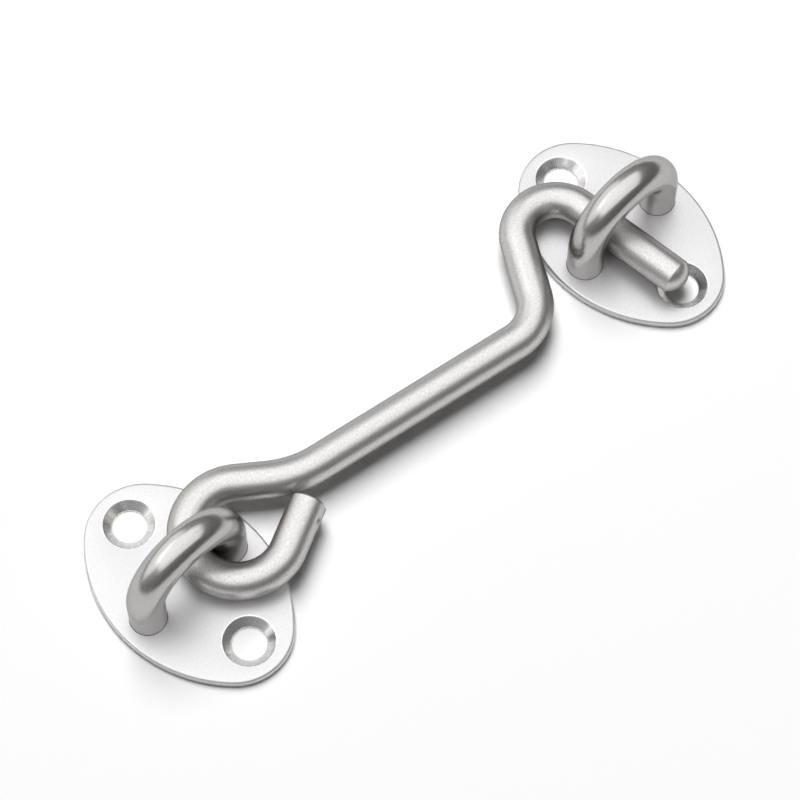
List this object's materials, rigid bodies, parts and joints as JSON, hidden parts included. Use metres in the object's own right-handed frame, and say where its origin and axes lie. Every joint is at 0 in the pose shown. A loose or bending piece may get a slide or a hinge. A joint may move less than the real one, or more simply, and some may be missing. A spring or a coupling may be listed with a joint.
{
  "type": "hook and eye latch",
  "caption": "Stainless rod hook that hangs by its loop from a staple on an oval plate, and whose crook catches a staple on a second plate to hold a door.",
  "frame": {"origin": "centre of the eye plate's back face, where it lies on the frame or wall", "axes": "+Z out of the surface that the plates are screwed to, +X from the eye plate towards the keeper plate, Y along the plates' length"},
  "size_m": [0.1198, 0.0441, 0.0187],
  "materials": {
    "plate": "satin",
    "staple": "polished",
    "hook": "satin"
  },
  "bodies": {
    "eye": {"eye_plate": "plate", "eye_staple": "staple"},
    "hook": {"hook": "hook"},
    "keeper": {"keeper_plate": "plate", "keeper_staple": "staple"}
  },
  "joints": [
    {"name": "hook_swing", "type": "hinge", "parent": "eye", "child": "hook", "pos_m": [0.0085, 0, 0.00465], "axis": [0, 0, 1], "range_deg": [0, 150]},
    {"name": "keeper_draw_off", "type": "slide", "parent": "eye", "child": "keeper", "axis": [0, -1, 0], "range_m": [0, 0.04]}
  ]
}
